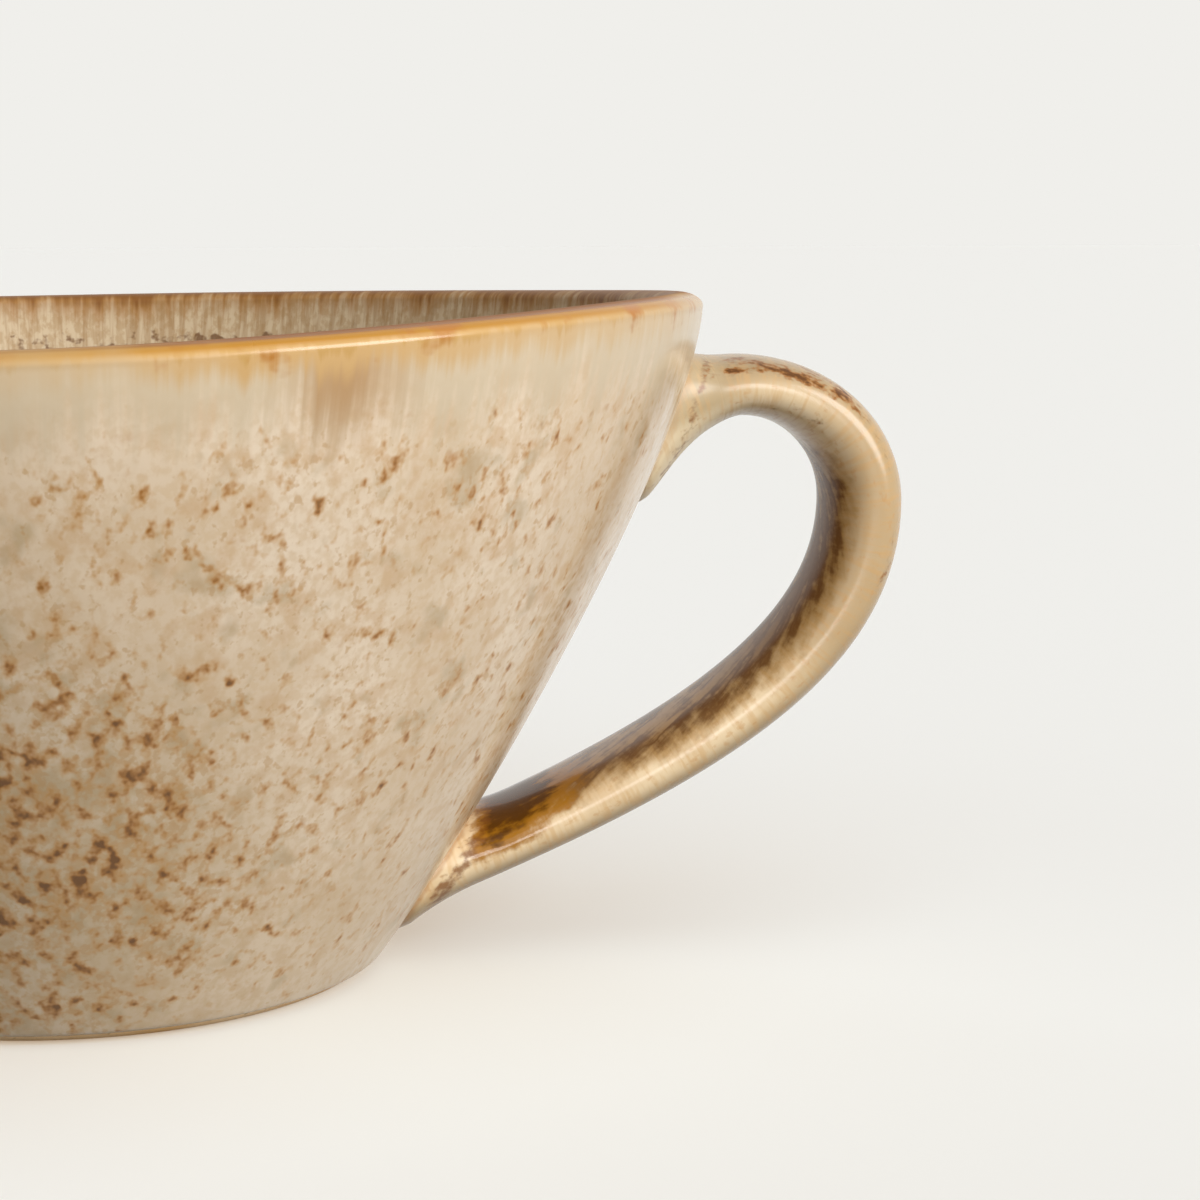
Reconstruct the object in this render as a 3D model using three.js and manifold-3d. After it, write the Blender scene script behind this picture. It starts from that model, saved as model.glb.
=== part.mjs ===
// A stoneware cappuccino mug in millimetres, +Z up. The origin is the middle of the foot, on the
// table, and the handle points along +X. A thrown bowl and a pulled strap handle are two pieces of
// clay, luted together with slip at both roots and then coated with glaze. Nothing on it moves.
import * as THREE from 'three';
import { mergeVertices } from 'three/addons/utils/BufferGeometryUtils.js';
import Module from 'manifold-3d';

// The bowl: finished outside sizes, glaze included
const HEIGHT = 57.2; // table to the crest of the lip, before the rim's wave
const RIM_RADIUS = 55;
const FOOT_RADIUS = 26.1;
const FOOT_FLARE = 50; // degrees from upright, where the wall leaves the foot
const FOOT_PULL = 3.8; // how far the wall keeps that direction
const RIM_FLARE = 4.4; // degrees from upright, just below the lip
const RIM_PULL = 13.4;
const WALL = 4.6; // at the foot, thinning towards the lip
const LIP_THICKNESS = 3.6;
const LIP_RISE = 1; // the lip's flat round, from the end of the wall to its crest
const FLOOR_HEIGHT = 5.2; // table to the glazed floor inside
const COVE_HEIGHT = 9; // the soft bend from the floor into the wall
const GLAZE = 0.4;

// The rim was left uneven by hand: rise = cosine * cos(n a) + sine * sin(n a), a from the handle
const RIM_WAVE = [
  { times: 1, cosine: 0.58, sine: -0.1 },
  { times: 2, cosine: 0.75, sine: -0.28 },
  { times: 3, cosine: -0.23, sine: -0.2 },
];

// The bare foot ring and the edges of the three coats on the bowl
const FOOT_ROUND = 0.8;
const FOOT_RING_WIDTH = 4;
const RECESS_DEPTH = 1.6;
const RECESS_SLOPE = 1.2;
const BARE_FOOT = 0.7; // height of the wiped clay line
const RIM_BAND = 4; // depth of the amber glaze, from the crest of the lip

// The handle: the middle line of the strap, in the plane of the axis
const UPPER_ROOT_DROP = 10.2; // from the crest of the lip
const UPPER_ROOT_INSET = 3.3; // from the outside of the wall
const UPPER_ROOT_RISE = 13; // degrees above level
const UPPER_ROOT_PULL = 2.2;
const ARCH_DROP = 7.15; // crest of the lip to the top of the middle line
const ARCH_RUN = 10.3; // upper root to the top of the middle line
const ARCH_PULL = 3;
const HANDLE_REACH = 16; // rim to the outermost point of the middle line
const OUTERMOST_DROP = 17.7;
const OUTERMOST_PULL = 13.6;
const LOWER_ROOT_HEIGHT = 6.5; // above the table
const LOWER_ROOT_INSET = 1.6;
const LOWER_ROOT_RISE = 20.4; // degrees above level
const LOWER_ROOT_PULL = 28.9;

// The strap's section, glaze included: thickness across the strap, width along Y
const UPPER_ROOT_THICKNESS = 12.8;
const ARCH_THICKNESS = 5.4;
const OUTERMOST_THICKNESS = 6.7;
const LOWER_ROOT_THICKNESS = 5.5;
const UPPER_ROOT_WIDTH = 14.5;
const STRAP_WIDTH = 13;
const LOWER_ROOT_WIDTH = 14;
const SECTION_POWER = 2.4; // 2 is an ellipse, higher is boxier

// The luted joints
const SLIP_THICKNESS = 0.6;
const SLIP_FILLET = 1;
const SLIP_REACH = 4; // how far from the wall the smoothed slip runs up the handle
const SEAM = 0.3; // clearance between a trimmed piece and its neighbour

// How finely the curves are cut into flats
const BOWL_SIDES = 36;
const WALL_STEPS = 7;
const LIP_STEPS = 3;
const CORNER_STEPS = 3;
const SECTION_SIDES = 14;
const STUB_STEPS = 1;
const ROOT_STEPS = 8;
const ARCH_STEPS = 7;
const LIMB_STEPS = 13;
const HALVINGS = 40; // of a search interval along the wall
const MERGE_DISTANCE = 1e-4;
const CUT_MARGIN = 10; // by which a cutting solid overshoots what it cuts
const QUARTER_ARC_PULL = 0.5523; // pull of a cubic curve that follows a quarter of an ellipse

const CLAY_COLOUR = '#b98d5f';
const SLIP_COLOUR = '#a9814f';
const SAND_COLOUR = '#cdbb9c';
const AMBER_COLOUR = '#a9742f';
const LINER_COLOUR = '#b3a288';
const BARE_ROUGHNESS = 0.9;
const GLAZE_ROUGHNESS = 0.22;

const wasm = await Module();
wasm.setup();

const radians = THREE.MathUtils.degToRad;
const leaning = (degrees) => new THREE.Vector2(Math.sin(radians(degrees)), Math.cos(radians(degrees)));
const rising = (degrees) => new THREE.Vector2(Math.cos(radians(degrees)), Math.sin(radians(degrees)));
const outwards = rising(0);
const upwards = leaning(0);
const along = (start, direction, distance) => start.clone().addScaledVector(direction, distance);

// The outside of the wall, as radius and height, from the foot (0) to the lip (1)
const footEdge = new THREE.Vector2(FOOT_RADIUS, 0);
const rimEdge = new THREE.Vector2(RIM_RADIUS, HEIGHT - LIP_RISE);
const wallCurve = new THREE.CubicBezierCurve(
  footEdge,
  along(footEdge, leaning(FOOT_FLARE), FOOT_PULL),
  along(rimEdge, leaning(RIM_FLARE), -RIM_PULL),
  rimEdge,
);

function wallNormal(t) {
  const tangent = wallCurve.getTangent(t);
  return new THREE.Vector2(tangent.y, -tangent.x);
}

// A face of the wall lies at some depth under the finished outside, which may vary from foot to lip
const facePoint = (depth, t) => along(wallCurve.getPoint(t), wallNormal(t), -depth(t));
const finishedFace = () => 0;
const clayFace = () => GLAZE;
const insideFace = (coat) => (t) => THREE.MathUtils.lerp(WALL, LIP_THICKNESS, t) - coat;

function parameterAt(height, depth) {
  let low = 0;
  let high = 1;
  for (let i = 0; i < HALVINGS; i += 1) {
    const middle = (low + high) / 2;
    if (facePoint(depth, middle).y < height) low = middle;
    else high = middle;
  }
  return low;
}

// Points up a face of the wall, at the same places on every face that starts from the foot's bend
const footBend = parameterAt(FOOT_ROUND, clayFace);

function facePoints(depth, from) {
  const steps = Array.from({ length: WALL_STEPS + 1 }, (_, i) => from + ((1 - from) * i) / WALL_STEPS);
  return steps.map((t) => facePoint(depth, t));
}

const wallPoints = (depth) => [facePoint(depth, 0), ...facePoints(depth, footBend)];

// A level face bends up into the wall: the bend leaves the wall at a given height above the level
function bendPoints(level, bendHeight, depth) {
  const t = parameterAt(level + bendHeight, depth);
  const end = facePoint(depth, t);
  const tangent = wallCurve.getTangent(t);
  const corner = new THREE.Vector2(end.x - (tangent.x / tangent.y) * (end.y - level), level);
  const start = new THREE.Vector2(corner.x - corner.distanceTo(end), level);
  const bend = new THREE.QuadraticBezierCurve(start, corner, end).getPoints(CORNER_STEPS);
  return [...bend.slice(0, -1), ...facePoints(depth, t)];
}

// A quarter of the flat round lip under a coat: turn 0 is the outer quarter, turn 1 the inner one
function lipQuarter(coat, turn) {
  const centre = facePoint(() => LIP_THICKNESS / 2, 1);
  return Array.from({ length: LIP_STEPS }, (_, i) => {
    const angle = (Math.PI / 2) * (turn + (i + 1 - turn) / LIP_STEPS);
    const across = along(centre, wallNormal(1), (LIP_THICKNESS / 2 - coat) * Math.cos(angle));
    return along(across, leaning(RIM_FLARE), (LIP_RISE - coat) * Math.sin(angle));
  });
}

function rimRise(angle) {
  const parts = RIM_WAVE.map(
    ({ times, cosine, sine }) => cosine * Math.cos(times * angle) + sine * Math.sin(times * angle),
  );
  return parts.reduce((sum, part) => sum + part, 0);
}

// A closed geometry with merged vertices and no collapsed triangles, as a solid that can be cut
function toSolid(geometry) {
  geometry.deleteAttribute('normal');
  geometry.deleteAttribute('uv');
  const merged = mergeVertices(geometry, MERGE_DISTANCE);
  const index = merged.index.array;
  const kept = [];
  for (let i = 0; i < index.length; i += 3) {
    const corners = [index[i], index[i + 1], index[i + 2]];
    if (new Set(corners).size === corners.length) kept.push(...corners);
  }
  return new wasm.Manifold(
    new wasm.Mesh({
      numProp: 3,
      vertProperties: new Float32Array(merged.attributes.position.array),
      triVerts: new Uint32Array(kept),
    }),
  );
}

// A profile turned about the axis, with the rim's wave fading out towards the foot
function turned(profile) {
  const geometry = new THREE.LatheGeometry(profile, BOWL_SIDES).rotateX(Math.PI / 2);
  const position = geometry.attributes.position;
  const vertex = new THREE.Vector3();
  for (let i = 0; i < position.count; i += 1) {
    vertex.fromBufferAttribute(position, i);
    if (Math.hypot(vertex.x, vertex.y) < MERGE_DISTANCE) continue;
    const rise = rimRise(Math.atan2(vertex.y, vertex.x)) * (vertex.z / HEIGHT) ** 2;
    position.setZ(i, vertex.z + rise);
  }
  return toSolid(geometry);
}

const closedToAxis = (points) => [
  new THREE.Vector2(0, points[0].y),
  ...points,
  new THREE.Vector2(0, points.at(-1).y),
];

// Everything inside the wall's clay face grown by some distance, carried on past the foot and rim
function wallBlock(grow) {
  const points = wallPoints(() => GLAZE - grow);
  points.unshift(along(points[0], upwards, -CUT_MARGIN));
  points.push(along(points.at(-1), leaning(RIM_FLARE), CUT_MARGIN));
  return turned(closedToAxis(points));
}

// A waved slice of space between two heights
function slice(low, high) {
  const reach = RIM_RADIUS + CUT_MARGIN;
  return turned(closedToAxis([new THREE.Vector2(reach, low), new THREE.Vector2(reach, high)]));
}

function cavity(coat) {
  const points = bendPoints(FLOOR_HEIGHT - coat, COVE_HEIGHT, insideFace(coat));
  points.push(...lipQuarter(coat, 1).reverse());
  const crest = points.at(-1);
  points.push(new THREE.Vector2(crest.x, crest.y + CUT_MARGIN));
  return turned(closedToAxis(points));
}

const finishedBlock = turned(closedToAxis([...wallPoints(finishedFace), ...lipQuarter(0, 0)]));

// The clay stands on a ring round a shallow recess
function clayBlock() {
  const outside = bendPoints(0, FOOT_ROUND, clayFace);
  const ringInside = outside[0].x - FOOT_RING_WIDTH;
  return turned(
    closedToAxis([
      new THREE.Vector2(ringInside - RECESS_SLOPE, RECESS_DEPTH),
      new THREE.Vector2(ringInside, 0),
      ...outside,
      ...lipQuarter(GLAZE, 0),
    ]),
  );
}

// The middle line of the strap, as radius and height, from the upper root to the lower one
const wallRadius = (height) => facePoint(finishedFace, parameterAt(height, finishedFace)).x;
const upperHeight = HEIGHT - UPPER_ROOT_DROP;
const upperRoot = new THREE.Vector2(wallRadius(upperHeight) - UPPER_ROOT_INSET, upperHeight);
const archTop = new THREE.Vector2(upperRoot.x + ARCH_RUN, HEIGHT - ARCH_DROP);
const outermost = new THREE.Vector2(RIM_RADIUS + HANDLE_REACH, HEIGHT - OUTERMOST_DROP);
const lowerRoot = new THREE.Vector2(wallRadius(LOWER_ROOT_HEIGHT) - LOWER_ROOT_INSET, LOWER_ROOT_HEIGHT);
const ease = (from, to, u) => THREE.MathUtils.lerp(from, to, THREE.MathUtils.smoothstep(u, 0, 1));
const settle = (from, to, u) => THREE.MathUtils.lerp(to, from, (1 - u) ** 2);

const strapRuns = [
  {
    curve: new THREE.LineCurve(along(upperRoot, rising(UPPER_ROOT_RISE), -CUT_MARGIN), upperRoot),
    steps: STUB_STEPS,
    thickness: () => UPPER_ROOT_THICKNESS,
    width: () => UPPER_ROOT_WIDTH,
  },
  {
    curve: new THREE.CubicBezierCurve(
      upperRoot,
      along(upperRoot, rising(UPPER_ROOT_RISE), UPPER_ROOT_PULL),
      along(archTop, outwards, -ARCH_PULL),
      archTop,
    ),
    steps: ROOT_STEPS,
    thickness: (u) => settle(UPPER_ROOT_THICKNESS, ARCH_THICKNESS, u),
    width: (u) => settle(UPPER_ROOT_WIDTH, STRAP_WIDTH, u),
  },
  {
    curve: new THREE.CubicBezierCurve(
      archTop,
      along(archTop, outwards, QUARTER_ARC_PULL * (outermost.x - archTop.x)),
      along(outermost, upwards, QUARTER_ARC_PULL * (archTop.y - outermost.y)),
      outermost,
    ),
    steps: ARCH_STEPS,
    thickness: (u) => ease(ARCH_THICKNESS, OUTERMOST_THICKNESS, u),
    width: () => STRAP_WIDTH,
  },
  {
    curve: new THREE.CubicBezierCurve(
      outermost,
      along(outermost, upwards, -OUTERMOST_PULL),
      along(lowerRoot, rising(LOWER_ROOT_RISE), LOWER_ROOT_PULL),
      lowerRoot,
    ),
    steps: LIMB_STEPS,
    thickness: (u) => ease(OUTERMOST_THICKNESS, LOWER_ROOT_THICKNESS, u),
    width: (u) => ease(STRAP_WIDTH, LOWER_ROOT_WIDTH, u),
  },
  {
    curve: new THREE.LineCurve(lowerRoot, along(lowerRoot, rising(LOWER_ROOT_RISE), -CUT_MARGIN)),
    steps: STUB_STEPS,
    thickness: () => LOWER_ROOT_THICKNESS,
    width: () => LOWER_ROOT_WIDTH,
  },
];

function strapSections() {
  const sections = [];
  strapRuns.forEach(({ curve, steps, thickness, width }, run) => {
    for (let i = run === 0 ? 0 : 1; i <= steps; i += 1) {
      const u = i / steps;
      sections.push({
        middle: curve.getPoint(u),
        tangent: curve.getTangent(u),
        thickness: thickness(u),
        width: width(u),
      });
    }
  });
  return sections;
}

// How far a point stands off the wall, measured square to it
function standOff(point) {
  const t = parameterAt(point.z, finishedFace);
  return (Math.hypot(point.x, point.y) - wallCurve.getPoint(t).x) * wallNormal(t).x;
}

const power = (value) => Math.sign(value) * Math.abs(value) ** (2 / SECTION_POWER);

// The strap under a coat, or grown where the coat is negative, with or without its smoothed slip
function strap(coat, withSlip) {
  const sections = strapSections();
  const rows = sections.length - 1;
  const geometry = new THREE.CylinderGeometry(1, 1, 1, SECTION_SIDES, rows);
  const position = geometry.attributes.position;
  const unit = new THREE.Vector3();
  const place = ({ middle, tangent, thickness, width }, extra) => {
    const rim = Math.hypot(unit.x, unit.z);
    const across = rim * power(unit.x / (rim || 1)) * (thickness / 2 + extra);
    const aside = rim * power(unit.z / (rim || 1)) * (width / 2 + extra);
    return new THREE.Vector3(middle.x - tangent.y * across, -aside, middle.y + tangent.x * across);
  };
  for (let i = 0; i < position.count; i += 1) {
    unit.fromBufferAttribute(position, i);
    const section = sections[Math.round((0.5 - unit.y) * rows)];
    const fade = 1 - standOff(place(section, 0)) / SLIP_REACH;
    const slip = withSlip ? SLIP_FILLET * THREE.MathUtils.clamp(fade, 0, 1) ** 2 : 0;
    const point = place(section, slip - coat);
    position.setXYZ(i, point.x, point.y, point.z);
  }
  return toSolid(geometry);
}

const clayCavity = cavity(GLAZE);
const finishedCavity = cavity(0);
const bowl = clayBlock().subtract(clayCavity);
const rimLine = HEIGHT - RIM_BAND;
const top = HEIGHT + CUT_MARGIN;

const outerGlaze = finishedBlock
  .intersect(slice(BARE_FOOT, rimLine))
  .subtract(wallBlock(0))
  .subtract(strap(GLAZE - SEAM, true));
const linerGlaze = clayCavity.subtract(finishedCavity).intersect(slice(0, rimLine));
const rimGlaze = finishedBlock
  .subtract(finishedCavity)
  .subtract(bowl)
  .intersect(slice(rimLine + SEAM, top));

const handle = strap(GLAZE, false).subtract(wallBlock(SEAM + SLIP_THICKNESS + SEAM));
const handleSocket = strap(GLAZE - SEAM, false).subtract(wallBlock(SEAM + SLIP_THICKNESS));
const slip = strap(GLAZE, true).subtract(wallBlock(SEAM)).subtract(handleSocket);
const betweenRoots = (upperRoot.y + lowerRoot.y) / 2;
const upperSlip = slip.intersect(slice(betweenRoots, top));
const lowerSlip = slip.intersect(slice(0, betweenRoots));
const handleGlaze = strap(0, true).subtract(strap(GLAZE, true)).subtract(wallBlock(GLAZE + SEAM));

const mug = new THREE.Group();

function addPiece(name, solid, colour, roughness) {
  const { vertProperties, triVerts } = solid.getMesh();
  const geometry = new THREE.BufferGeometry();
  geometry.setAttribute('position', new THREE.BufferAttribute(vertProperties, 3));
  geometry.setIndex(new THREE.BufferAttribute(triVerts, 1));
  geometry.computeVertexNormals();
  const material = new THREE.MeshStandardMaterial({ color: colour, roughness, metalness: 0 });
  const piece = new THREE.Mesh(geometry, material);
  piece.name = name;
  mug.add(piece);
}

addPiece('clay_bowl', bowl, CLAY_COLOUR, BARE_ROUGHNESS);
addPiece('clay_handle', handle, CLAY_COLOUR, BARE_ROUGHNESS);
addPiece('upper_slip_joint', upperSlip, SLIP_COLOUR, BARE_ROUGHNESS);
addPiece('lower_slip_joint', lowerSlip, SLIP_COLOUR, BARE_ROUGHNESS);
addPiece('outer_glaze', outerGlaze, SAND_COLOUR, GLAZE_ROUGHNESS);
addPiece('rim_glaze', rimGlaze, AMBER_COLOUR, GLAZE_ROUGHNESS);
addPiece('liner_glaze', linerGlaze, LINER_COLOUR, GLAZE_ROUGHNESS);
addPiece('handle_glaze', handleGlaze, SAND_COLOUR, GLAZE_ROUGHNESS);

export default mug;
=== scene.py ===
"""A wide stoneware cappuccino mug with a strap handle, in metres. Its foot stands on z = 0, the bowl
turns about z and the handle points along +x. Clay comes first, then the coats of glaze over it."""

import math

import bmesh
import bpy
import numpy as np
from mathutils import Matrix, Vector


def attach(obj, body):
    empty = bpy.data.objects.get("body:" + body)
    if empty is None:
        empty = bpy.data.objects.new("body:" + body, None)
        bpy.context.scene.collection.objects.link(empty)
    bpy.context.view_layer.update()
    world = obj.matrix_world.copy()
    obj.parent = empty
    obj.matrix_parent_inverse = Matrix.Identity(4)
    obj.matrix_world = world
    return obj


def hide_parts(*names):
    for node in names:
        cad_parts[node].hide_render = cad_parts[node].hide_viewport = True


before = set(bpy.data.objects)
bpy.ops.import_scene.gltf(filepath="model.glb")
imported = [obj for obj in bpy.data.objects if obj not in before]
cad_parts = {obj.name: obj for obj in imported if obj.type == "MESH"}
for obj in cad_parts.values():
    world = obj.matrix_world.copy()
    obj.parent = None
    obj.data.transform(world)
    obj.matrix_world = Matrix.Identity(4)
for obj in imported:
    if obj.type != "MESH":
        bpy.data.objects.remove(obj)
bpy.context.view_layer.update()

# Bowl. Wall, floor and foot ring are thrown on the wheel from one lump of buff stoneware clay.
# The foot was wiped before firing so that it wouldn't stick to the kiln shelf, and it is the only
# place where the clay stays bare.
height = 0.0572  # to the crest of the lip, before the rim's wave
rim_radius = 0.055
foot_radius = 0.0261
foot_flare = math.radians(50)  # from upright, where the wall leaves the foot
foot_pull = 0.0038  # how far the wall's curve holds to that lean
rim_flare = math.radians(4.4)
rim_pull = 0.0134
wall_at_foot = 0.0046
lip_thickness = 0.0036
lip_rise = 0.001  # the lip's flat round, from the end of the wall to its crest
floor_height = 0.0052
cove_height = 0.009
glaze_thickness = 0.0004
foot_round = 0.0008
foot_ring_width = 0.004
recess_depth = 0.0016
recess_slope = 0.0012
bare_foot = 0.0007
rim_band = 0.004
rim_wave = ((1, 0.00058, -0.0001), (2, 0.00075, -0.00028), (3, -0.00023, -0.0002))  # turns, cosine, sine


def leaning(angle):
    """A direction, as radius and height, that leans out from upright."""
    return Vector((math.sin(angle), math.cos(angle)))


foot_edge = Vector((foot_radius, 0))
rim_edge = Vector((rim_radius, height - lip_rise))
wall_line = (
    foot_edge,
    foot_edge + foot_pull * leaning(foot_flare),
    rim_edge - rim_pull * leaning(rim_flare),
    rim_edge,
)


def bezier(line, t):
    """A place on a cubic curve and the heading there."""
    a, b, c, d = line
    s = 1 - t
    place = s**3 * a + 3 * s * s * t * b + 3 * s * t * t * c + t**3 * d
    heading = s * s * (b - a) + 2 * s * t * (c - b) + t * t * (d - c)
    return place, heading.normalized()


def outside(coat, t):
    """Radius and height on the outside of the wall under a coat, from the foot (0) to the lip (1)."""
    place, heading = bezier(wall_line, t)
    return place + coat * Vector((-heading.y, heading.x))


def inside(coat, t):
    """The same on the inside of the wall."""
    return outside(wall_at_foot + (lip_thickness - wall_at_foot) * t - coat, t)


halvings = 40  # of a stretch, to find a place on it


def height_on(face, coat, level):
    """How far up a face of the wall, from 0 to 1, a height lies."""
    low, high = 0.0, 1.0
    for _ in range(halvings):
        middle = (low + high) / 2
        if face(coat, middle).y < level:
            low = middle
        else:
            high = middle
    return low


def spaced(start, end, steps):
    return [start + (end - start) * i / steps for i in range(steps + 1)]


def soft_turn(face, coat, level, rise, steps):
    """Points from a level surface round into a face of the wall, and how far up the face they end."""
    t = height_on(face, coat, level + rise)
    end = face(coat, t)
    heading = bezier(wall_line, t)[1]
    corner = Vector((end.x - heading.x / heading.y * (end.y - level), level))
    start = corner - Vector(((corner - end).length, 0))
    points = [(1 - s) ** 2 * start + 2 * s * (1 - s) * corner + s * s * end for s in spaced(0, 1, steps)]
    return points, t


band_edge = height - rim_band


def outer_line(coat, steps, start=bare_foot):
    """The outside of the wall, from the wiped foot to the lower edge of the rim's coat."""
    ends = [height_on(outside, coat, level) for level in (start, band_edge)]
    return [outside(coat, t) for t in spaced(*ends, 5 * steps)]


def rim_line(coat, steps):
    """Up the outside from the edge of the rim's coat, over the lip and as far down the inside."""
    up = [outside(coat, t) for t in spaced(height_on(outside, coat, band_edge), 1, steps)]
    centre = outside(lip_thickness / 2, 1)
    half_width = (lip_thickness / 2 - coat) * leaning(math.pi / 2 + rim_flare)
    rise = (lip_rise - coat) * leaning(rim_flare)
    over = [centre + math.cos(a) * half_width + math.sin(a) * rise for a in spaced(0, math.pi, 2 * steps)]
    down = [inside(coat, t) for t in spaced(1, height_on(inside, coat, band_edge), steps)]
    return up[:-1] + over + down[1:]


def liner_line(coat, steps):
    """Down the inside from the edge of the rim's coat, round the cove and over the floor to the axis."""
    cove, cove_top = soft_turn(inside, coat, floor_height - coat, cove_height, steps)
    down = [inside(coat, t) for t in spaced(height_on(inside, coat, band_edge), cove_top, 4 * steps)]
    floor = [Vector((cove[0].x * s, cove[0].y)) for s in spaced(1, 0, steps)]
    return down[:-1] + cove[::-1][:-1] + floor


def rim_rise(angle):
    """How far the wave lifts the rim at an angle round the bowl."""
    return sum(c * math.cos(n * angle) + s * math.sin(n * angle) for n, c, s in rim_wave)


def finished(name, bm, material):
    """The mesh of a piece as a smooth-shaded object that rides on the mug."""
    crease = math.radians(40)
    for face in bm.faces:
        face.smooth = True
    for edge in bm.edges:
        edge.smooth = edge.calc_face_angle(0) < crease
    mesh = bpy.data.meshes.new(name)
    bm.to_mesh(mesh)
    bm.free()
    mesh.materials.append(material)
    piece = bpy.data.objects.new(name, mesh)
    bpy.context.scene.collection.objects.link(piece)
    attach(piece, "root")
    return piece


weld = 1e-7  # points closer than this are one point


def turned(profile, from_crest):
    """A profile spun about the axis, with the rim's wave fading towards the foot. Each vertex keeps its
    place on the unrolled wall: the way round, at the rim, and the distance from the crest of the lip."""
    sides = 144
    bm = bmesh.new()
    unrolled = bm.verts.layers.float_vector.new("unrolled")
    verts = [bm.verts.new((point.x, 0, point.y)) for point in profile]
    for vert, distance in zip(verts, from_crest):
        vert[unrolled] = Vector((0, 0, distance))
    edges = [bm.edges.new(pair) for pair in zip(verts, verts[1:])]
    bmesh.ops.spin(
        bm, geom=verts + edges, cent=(0, 0, 0), axis=(0, 0, 1), angle=math.tau, steps=sides, use_merge=True
    )
    bmesh.ops.remove_doubles(bm, verts=bm.verts, dist=weld)
    bmesh.ops.recalc_face_normals(bm, faces=bm.faces)
    for vert in bm.verts:
        angle = math.atan2(vert.co.y, vert.co.x)
        vert[unrolled].x = rim_radius * math.cos(angle)
        vert[unrolled].y = rim_radius * math.sin(angle)
        if vert.co.xy.length > weld:
            vert.co.z += rim_rise(angle) * (vert.co.z / height) ** 2
    return bm


def linear(hexcode):
    """An sRGB hex colour as the linear colour that a shader takes."""
    channels = [int(hexcode[i : i + 2], 16) / 255 for i in (1, 3, 5)]
    return [c / 12.92 if c <= 0.04045 else ((c + 0.055) / 1.055) ** 2.4 for c in channels] + [1]


def add(tree, kind, settings={}, inputs={}, output=0):
    """One shader node with its settings, its inputs linked or set, and the output that is wanted.
    A socket goes by its name, or by its number among those that the settings leave in use."""

    def pick(sockets, key):
        in_use = [s for s in sockets if s.enabled]
        return in_use[key] if isinstance(key, int) else next(s for s in in_use if s.name == key)

    node = tree.nodes.new("ShaderNode" + kind)
    for name, value in settings.items():
        setattr(node, name, value)
    for key, value in inputs.items():
        socket = pick(node.inputs, key)
        if isinstance(value, bpy.types.NodeSocket):
            tree.links.new(value, socket)
        else:
            socket.default_value = value
    return pick(node.outputs, output)


def blots(tree, where, size, seed, detail=2.0, raggedness=0.5):
    """Noise whose blots have these real sizes along X, Y and Z."""
    spread = add(tree, "VectorMath", {"operation": "DIVIDE"}, {0: where, 1: size})
    inputs = {"Vector": spread, "W": seed, "Scale": 1.0, "Detail": detail, "Roughness": raggedness}
    return add(tree, "TexNoise", {"noise_dimensions": "4D"}, inputs)


def stain(tree, under, field, start, end, colour, strength=1.0):
    """A colour laid over what is under it where a field goes from start to end, with a soft edge."""
    inputs = {"Value": field, "From Min": start, "From Max": end, "To Max": strength}
    share = add(tree, "MapRange", {"interpolation_type": "SMOOTHSTEP"}, inputs)
    inputs = {"Factor": share, "A": under, "B": linear(colour)}
    return add(tree, "Mix", {"data_type": "RGBA"}, inputs)


# Fired stoneware: a dense buff body, matt and slightly sandy, toasted orange where the flame met it.
clay = bpy.data.materials.new("fired_stoneware")
clay.use_nodes = True
tree = clay.node_tree
place = add(tree, "TexCoord", output="Object")
grit = blots(tree, place, (0.0006, 0.0006, 0.0006), 1.0)
toast = blots(tree, place, (0.008, 0.008, 0.008), 2.0)
buff = stain(tree, linear("#efca9a"), toast, 0.35, 0.65, "#dfae70")
buff = stain(tree, buff, grit, 0.58, 0.70, "#8a5f38", 0.5)
bsdf = tree.nodes["Principled BSDF"]
bsdf.inputs["Roughness"].default_value = 0.85
tree.links.new(buff, bsdf.inputs["Base Color"])
relief = add(tree, "Bump", inputs={"Strength": 0.5, "Distance": 0.0001, "Height": grit})
tree.links.new(relief, bsdf.inputs["Normal"])

seen_steps, hidden_steps = 14, 3  # how finely a line is drawn in the open and under a coat
foot_turn = soft_turn(outside, glaze_thickness, 0, foot_round, seen_steps)[0]
ring_inside = foot_turn[0].x - foot_ring_width
under_foot = [
    Vector((0, recess_depth)),
    Vector((ring_inside - recess_slope, recess_depth)),
    Vector((ring_inside, 0)),
]
bowl_line = (
    under_foot
    + foot_turn
    + outer_line(glaze_thickness, hidden_steps, foot_round)[1:]
    + rim_line(glaze_thickness, hidden_steps)[1:]
    + liner_line(glaze_thickness, hidden_steps)[1:]
)
thrown_bowl = finished("thrown_bowl", turned(bowl_line, [0] * len(bowl_line)), clay)
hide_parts("clay_bowl")

# Handle and its joints. A strap pulled from the same clay is pressed on with slip, and the slip that
# squeezes out is smoothed into a small fillet at each root. All of it lies under the glaze.
strap_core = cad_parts["clay_handle"].data
strap_core.materials.clear()
strap_core.materials.append(clay)

# Fired slip: the same clay thinned with water, so finer and a little darker than the thrown body.
slip = bpy.data.materials.new("fired_slip")
slip.use_nodes = True
tree = slip.node_tree
place = add(tree, "TexCoord", output="Object")
daubs = blots(tree, place, (0.002, 0.002, 0.002), 3.0)
bsdf = tree.nodes["Principled BSDF"]
bsdf.inputs["Roughness"].default_value = 0.8
tree.links.new(stain(tree, linear("#b98d58"), daubs, 0.35, 0.65, "#94693c"), bsdf.inputs["Base Color"])
for joint in ("upper_slip_joint", "lower_slip_joint"):
    joint_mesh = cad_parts[joint].data
    joint_mesh.materials.clear()
    joint_mesh.materials.append(slip)

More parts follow.
